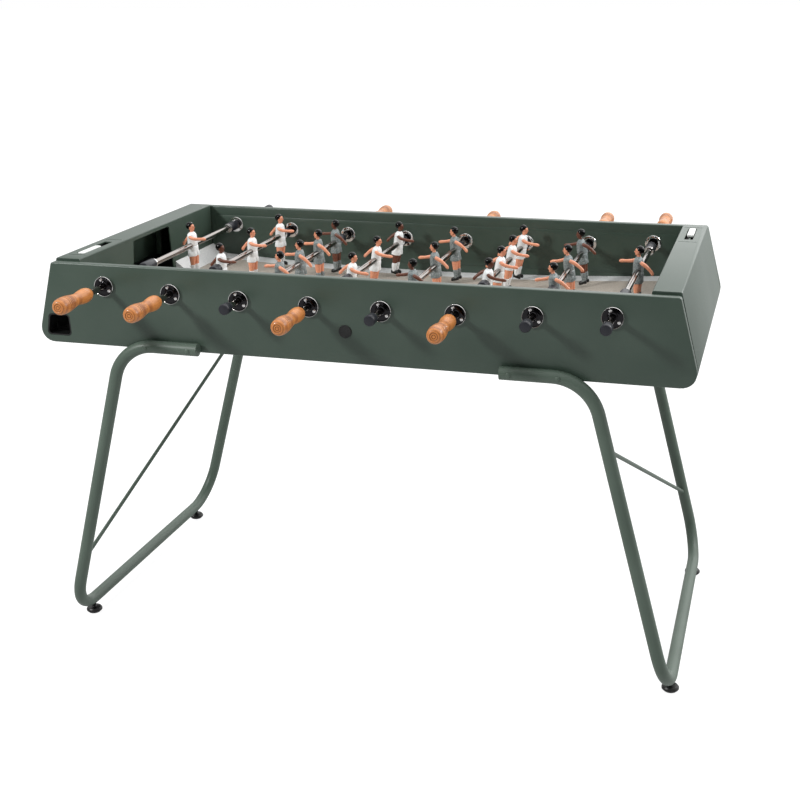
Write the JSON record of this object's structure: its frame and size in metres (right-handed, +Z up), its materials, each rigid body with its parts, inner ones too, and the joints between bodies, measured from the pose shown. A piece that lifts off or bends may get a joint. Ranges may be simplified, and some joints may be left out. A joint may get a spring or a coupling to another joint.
{
  "type": "foosball table",
  "caption": "Foosball table with a folded sheet-metal body on bent-tube legs, rods that slide and turn with figures and wooden handles, end goals, ball outlets and score sliders",
  "frame": {"origin": "on the floor plane, under the middle of the object's bounding box, handles and rod ends included", "axes": "+X along the table towards the right-hand goal, +Y across it from the white team's side to the grey team's side, +Z up"},
  "size_m": [1.4392, 1.277, 0.9043],
  "materials": {
    "green_paint": "satin dark green-grey paint",
    "black_plastic": "moulded, matt",
    "polished_steel": "polished",
    "field_board": "board with a satin brownish-grey surface",
    "turned_wood": "turned, oiled",
    "white_plastic": "moulded, satin",
    "grey_plastic": "moulded, satin"
  },
  "bodies": {
    "table_frame": {"front_panel": "green_paint", "rear_panel": "green_paint", "front_bearings": "polished_steel", "rear_bearings": "polished_steel", "left_end_casing": "green_paint", "right_end_casing": "green_paint", "left_ball_chute": "black_plastic", "right_ball_chute": "black_plastic", "left_leg_frame": "green_paint", "right_leg_frame": "green_paint", "left_brace": "green_paint", "right_brace": "green_paint", "playfield": "field_board", "underside_tray": "green_paint", "badge": "black_plastic"},
    "left_score_marker": {"left_score_slider": "white_plastic"},
    "right_score_marker": {"right_score_slider": "white_plastic"},
    "rod_1_tube": {"rod_1": "polished_steel"},
    "row_1": {"handle_1": "turned_wood", "white_player_1_1": "white_plastic"},
    "rod_2_tube": {"rod_2": "polished_steel"},
    "row_2": {"handle_2": "turned_wood", "white_player_2_1": "white_plastic", "white_player_2_2": "white_plastic", "white_player_2_3": "white_plastic"},
    "rod_3_tube": {"rod_3": "polished_steel"},
    "row_3": {"handle_3": "turned_wood", "grey_player_3_1": "grey_plastic", "grey_player_3_2": "grey_plastic", "grey_player_3_3": "grey_plastic", "grey_player_3_4": "grey_plastic"},
    "rod_4_tube": {"rod_4": "polished_steel"},
    "row_4": {"handle_4": "turned_wood", "white_player_4_1": "white_plastic", "white_player_4_2": "white_plastic", "white_player_4_3": "white_plastic"},
    "rod_5_tube": {"rod_5": "polished_steel"},
    "row_5": {"handle_5": "turned_wood", "grey_player_5_1": "grey_plastic", "grey_player_5_2": "grey_plastic", "grey_player_5_3": "grey_plastic"},
    "rod_6_tube": {"rod_6": "polished_steel"},
    "row_6": {"handle_6": "turned_wood", "white_player_6_1": "white_plastic", "white_player_6_2": "white_plastic", "white_player_6_3": "white_plastic", "white_player_6_4": "white_plastic"},
    "rod_7_tube": {"rod_7": "polished_steel"},
    "row_7": {"handle_7": "turned_wood", "grey_player_7_1": "grey_plastic", "grey_player_7_2": "grey_plastic", "grey_player_7_3": "grey_plastic"},
    "rod_8_tube": {"rod_8": "polished_steel"},
    "row_8": {"handle_8": "turned_wood", "grey_player_8_1": "grey_plastic"},
    "foot_front_left_body": {"foot_front_left": "black_plastic"},
    "foot_rear_left_body": {"foot_rear_left": "black_plastic"},
    "foot_rear_right_body": {"foot_rear_right": "black_plastic"},
    "foot_front_right_body": {"foot_front_right": "black_plastic"}
  },
  "joints": [
    {"name": "left_score_slide", "type": "slide", "parent": "table_frame", "child": "left_score_marker", "axis": [0, 1, 0], "range_m": [-0.002, 0.049]},
    {"name": "right_score_slide", "type": "slide", "parent": "table_frame", "child": "right_score_marker", "axis": [0, 1, 0], "range_m": [-0.049, 0.002]},
    {"name": "rod_1_slide", "type": "slide", "parent": "table_frame", "child": "rod_1_tube", "axis": [0, 1, 0], "range_m": [-0.158, 0]},
    {"name": "row_1_spin", "type": "hinge", "parent": "rod_1_tube", "child": "row_1", "pos_m": [-0.553, 0.0085, 0.84807], "axis": [0, 1, 0], "continuous": true},
    {"name": "rod_2_slide", "type": "slide", "parent": "table_frame", "child": "rod_2_tube", "axis": [0, 1, 0], "range_m": [-0.193, 0.025]},
    {"name": "row_2_spin", "type": "hinge", "parent": "rod_2_tube", "child": "row_2", "pos_m": [-0.395, 0.0135, 0.83996], "axis": [0, 1, 0], "continuous": true},
    {"name": "rod_3_slide", "type": "slide", "parent": "table_frame", "child": "rod_3_tube", "axis": [0, 1, 0], "range_m": [-0.166, 0.042]},
    {"name": "row_3_spin", "type": "hinge", "parent": "rod_3_tube", "child": "row_3", "pos_m": [-0.237, -0.0085, 0.83454], "axis": [0, 1, 0], "continuous": true},
    {"name": "rod_4_slide", "type": "slide", "parent": "table_frame", "child": "rod_4_tube", "axis": [0, 1, 0], "range_m": [-0.204, 0.014]},
    {"name": "row_4_spin", "type": "hinge", "parent": "rod_4_tube", "child": "row_4", "pos_m": [-0.079, 0.0245, 0.83184], "axis": [0, 1, 0], "continuous": true},
    {"name": "rod_5_slide", "type": "slide", "parent": "table_frame", "child": "rod_5_tube", "axis": [0, 1, 0], "range_m": [-0.169, 0.049]},
    {"name": "row_5_spin", "type": "hinge", "parent": "rod_5_tube", "child": "row_5", "pos_m": [0.079, -0.0105, 0.83184], "axis": [0, 1, 0], "continuous": true},
    {"name": "rod_6_slide", "type": "slide", "parent": "table_frame", "child": "rod_6_tube", "axis": [0, 1, 0], "range_m": [-0.207, 0.001]},
    {"name": "row_6_spin", "type": "hinge", "parent": "rod_6_tube", "child": "row_6", "pos_m": [0.237, 0.0325, 0.83454], "axis": [0, 1, 0], "continuous": true},
    {"name": "rod_7_slide", "type": "slide", "parent": "table_frame", "child": "rod_7_tube", "axis": [0, 1, 0], "range_m": [-0.17, 0.048]},
    {"name": "row_7_spin", "type": "hinge", "parent": "rod_7_tube", "child": "row_7", "pos_m": [0.395, -0.0095, 0.83996], "axis": [0, 1, 0], "continuous": true},
    {"name": "rod_8_slide", "type": "slide", "parent": "table_frame", "child": "rod_8_tube", "axis": [0, 1, 0], "range_m": [-0.124, 0.034]},
    {"name": "row_8_spin", "type": "hinge", "parent": "rod_8_tube", "child": "row_8", "pos_m": [0.553, -0.0255, 0.84807], "axis": [0, 1, 0], "continuous": true},
    {"name": "foot_front_left_turn", "type": "hinge", "parent": "table_frame", "child": "foot_front_left_body", "pos_m": [-0.7004, -0.3666, 0], "axis": [0, 0, 1], "continuous": true},
    {"name": "foot_rear_left_turn", "type": "hinge", "parent": "table_frame", "child": "foot_rear_left_body", "pos_m": [-0.7004, 0.2256, 0], "axis": [0, 0, 1], "continuous": true},
    {"name": "foot_rear_right_turn", "type": "hinge", "parent": "table_frame", "child": "foot_rear_right_body", "pos_m": [0.7004, 0.2256, 0], "axis": [0, 0, 1], "continuous": true},
    {"name": "foot_front_right_turn", "type": "hinge", "parent": "table_frame", "child": "foot_front_right_body", "pos_m": [0.7004, -0.3666, 0], "axis": [0, 0, 1], "continuous": true}
  ]
}
